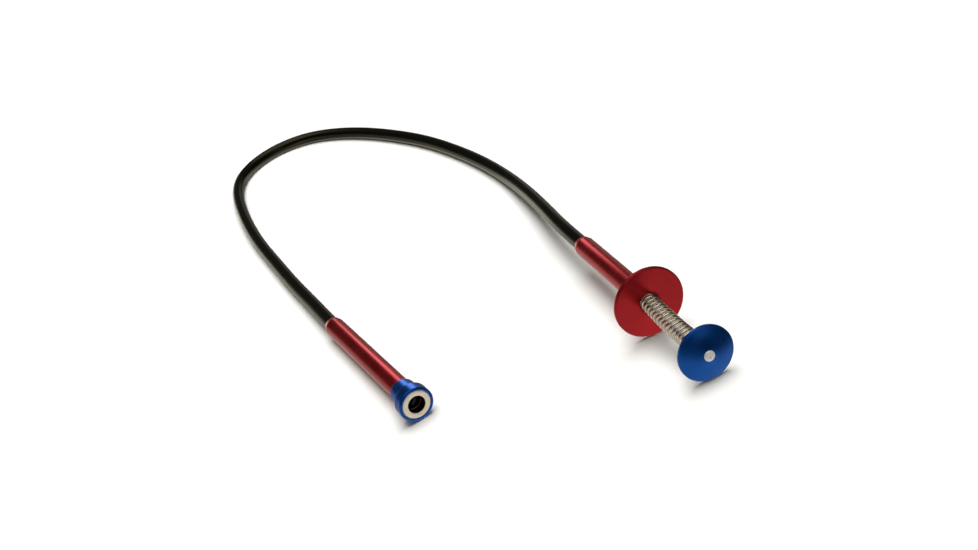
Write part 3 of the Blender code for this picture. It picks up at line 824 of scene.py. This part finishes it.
def build_camera():
    data = bpy.data.cameras.new("camera")
    data.lens = LENS_MM
    data.sensor_width = SENSOR_MM
    data.clip_start = 10 * MM
    data.clip_end = 20.0
    camera = bpy.data.objects.new("camera", data)
    bpy.context.scene.collection.objects.link(camera)
    right, up = Vector(CAMERA_RIGHT), Vector(CAMERA_UP)
    turn = Matrix((right, up, right.cross(up))).transposed().to_4x4()
    camera.matrix_world = Matrix.Translation(Vector(CAMERA_MM) * MM) @ turn
    bpy.context.scene.camera = camera


def build_floor():
    bpy.ops.mesh.primitive_plane_add(size=8.0, location=(0.0, 0.0, 0.0))
    floor = bpy.context.object
    floor.name = "floor"
    nodes = Nodes("pale_floor")
    nodes.set(Base_Color=(0.86, 0.86, 0.86, 1.0), Roughness=0.9, Specular_IOR_Level=0.1)
    floor.data.materials.append(nodes.material)
    floor.visible_glossy = False


def direction(azimuth, elevation):
    """Azimuth 0 is +Y, behind the tool, and 90 is +X."""
    a, e = math.radians(azimuth), math.radians(elevation)
    return Vector((math.sin(a) * math.cos(e), math.cos(a) * math.cos(e), math.sin(e)))


class Surroundings:
    """The studio that the tool reflects, as a sum of smooth shares of the directions round it."""

    def __init__(self, tree):
        self.tree = tree
        self.place = tree.nodes.new("ShaderNodeTexCoord").outputs["Generated"]

    def towards(self, aim, edge, full):
        """Rises from 0 to 1 as the cosine of the angle to aim goes from edge to full."""
        dot = self.tree.nodes.new("ShaderNodeVectorMath")
        dot.operation = "DOT_PRODUCT"
        self.tree.links.new(self.place, dot.inputs[0])
        dot.inputs[1].default_value = aim
        step = self.tree.nodes.new("ShaderNodeMapRange")
        step.interpolation_type = "SMOOTHSTEP"
        step.inputs["From Min"].default_value = edge
        step.inputs["From Max"].default_value = full
        self.tree.links.new(dot.outputs["Value"], step.inputs["Value"])
        return step.outputs["Result"]

    def combine(self, operation, first, second):
        node = self.tree.nodes.new("ShaderNodeMath")
        node.operation = operation
        for socket, value in zip(node.inputs, (first, second)):
            if isinstance(value, float):
                socket.default_value = value
            else:
                self.tree.links.new(value, socket)
        return node.outputs["Value"]

    def patch(self, azimuth, elevation, inner, outer, amount):
        """A soft round patch of light, its two radii in degrees."""
        edge, full = math.cos(math.radians(outer)), math.cos(math.radians(inner))
        return self.combine("MULTIPLY", self.towards(direction(azimuth, elevation), edge, full), amount)


def build_world():
    """A dark studio over a lit table. The camera itself sees the pale backdrop beyond the floor."""
    world = bpy.data.worlds.new("studio")
    bpy.context.scene.world = world
    world.use_nodes = True
    tree = world.node_tree
    ground = tree.nodes["Background"]
    studio = Surroundings(tree)
    table = studio.combine(
        "MULTIPLY", studio.towards(TABLE_AIM, -0.13, 0.05), studio.towards((0.0, 0.0, -1.0), -0.17, 0.14)
    )
    total = studio.combine("ADD", studio.combine("MULTIPLY", table, TABLE_LIGHT), DARK_LIGHT)
    ceiling = studio.combine("MULTIPLY", studio.towards((0.0, 0.0, 1.0), 0.66, 0.92), CEILING_LIGHT)
    total = studio.combine("ADD", total, ceiling)
    for patch in PATCHES:
        total = studio.combine("ADD", total, studio.patch(*patch))
    total = studio.combine("MAXIMUM", total, 0.03)
    tree.links.new(total, ground.inputs["Strength"])
    ground.inputs["Color"].default_value = (1.0, 0.955, 0.82, 1.0)
    backdrop = tree.nodes.new("ShaderNodeBackground")
    backdrop.inputs["Color"].default_value = (0.93, 0.93, 0.93, 1.0)
    path = tree.nodes.new("ShaderNodeLightPath")
    mix = tree.nodes.new("ShaderNodeMixShader")
    tree.links.new(path.outputs["Is Camera Ray"], mix.inputs["Fac"])
    tree.links.new(ground.outputs["Background"], mix.inputs[1])
    tree.links.new(backdrop.outputs["Background"], mix.inputs[2])
    tree.links.new(mix.outputs["Shader"], tree.nodes["World Output"].inputs["Surface"])


def softbox(name, centre, width, height, radiance):
    """A soft rectangular light that faces the tool."""
    data = bpy.data.lights.new(name, "AREA")
    data.shape = "RECTANGLE"
    data.size, data.size_y = width, height
    data.energy = radiance * math.pi * width * height
    light = bpy.data.objects.new(name, data)
    bpy.context.scene.collection.objects.link(light)
    light.visible_camera = False
    light.visible_diffuse = False
    light.location = centre
    light.rotation_mode = "QUATERNION"
    light.rotation_quaternion = Vector(centre).to_track_quat("Z", "Y")
    return light


def build_lights():
    key = bpy.data.lights.new("overhead", "SUN")
    key.energy = 3.0
    key.angle = math.radians(50)
    lamp = bpy.data.objects.new("overhead", key)
    bpy.context.scene.collection.objects.link(lamp)
    lamp.rotation_euler = (math.radians(-12), math.radians(8), 0.0)
    lamp.visible_glossy = False
    back = softbox("back_light", centre=(0.02, 0.6, 0.27), width=0.2, height=0.17, radiance=2.6)
    flagged = bpy.data.collections.new("flagged_off")
    flagged.objects.link(SHAFT)
    flagged.collection_objects[0].light_linking.link_state = "EXCLUDE"
    back.light_linking.receiver_collection = flagged


# The tool's axes, and a frame on each turned part: handle, button, stem and head.
HANDLE_OUT = -joint_axis("plunger_slide")
HEAD_OUT = joint_axis("claw_slide")
STEM_OUT = -joint_axis("button_press")
FLANGE_CENTRE = joint_place("spring_swing")
HANDLE_FRAME = frame_on(HANDLE_OUT, FLANGE_CENTRE)
BUTTON_OUT = turned_axis("thumb_button", STEM_OUT)
BUTTON_MIDDLE = Vector(corners("thumb_button").mean(axis=0))
BUTTON_BACK = measure("thumb_button", frame_on(BUTTON_OUT, BUTTON_MIDDLE))[0]
BUTTON_CENTRE = BUTTON_MIDDLE + BUTTON_OUT * (BUTTON_BACK + BUTTON_RIM + BOSS_LENGTH)
BUTTON_FRAME = frame_on(BUTTON_OUT, BUTTON_CENTRE)
STEM_FRAME = frame_on(STEM_OUT, FLANGE_CENTRE)
HEAD_CENTRE = Vector(corners("head_collar").mean(axis=0))
HEAD_CENTRE_FRAME = frame_on(HEAD_OUT, HEAD_CENTRE)
MOUTH_CENTRE = HEAD_CENTRE + HEAD_OUT * measure("head_collar", HEAD_CENTRE_FRAME)[1]
HEAD_FRAME = frame_on(HEAD_OUT, MOUTH_CENTRE)
HANDLE_FERRULE = FLANGE_CENTRE + HANDLE_OUT * measure("handle_barrel", HANDLE_FRAME)[0]
HEAD_FERRULE = MOUTH_CENTRE + HEAD_OUT * measure("head_barrel", HEAD_FRAME)[0]
MATERIALS = make_materials()

build_camera()
SHAFT = build_shaft()
build_barrel("handle_tube", "handle_barrel", HANDLE_FRAME)
build_flange()
build_button()
build_stem()
build_spring()
build_barrel("head_tube", "head_barrel", HEAD_FRAME)
build_collar()
build_magnet()
for claw_number in range(4):
    build_claw(claw_number)
build_floor()
build_world()
build_lights()

# The CAD nodes that no piece replaces are shown as they are, so every node gets its slot's material.
for entry in frame["record"]["subparts"]:
    node = frame["nodes"][entry["node"]]
    node.data.materials.clear()
    node.data.materials.append(MATERIALS[entry["material_slot"]])

bpy.context.scene.view_settings.view_transform = "Standard"
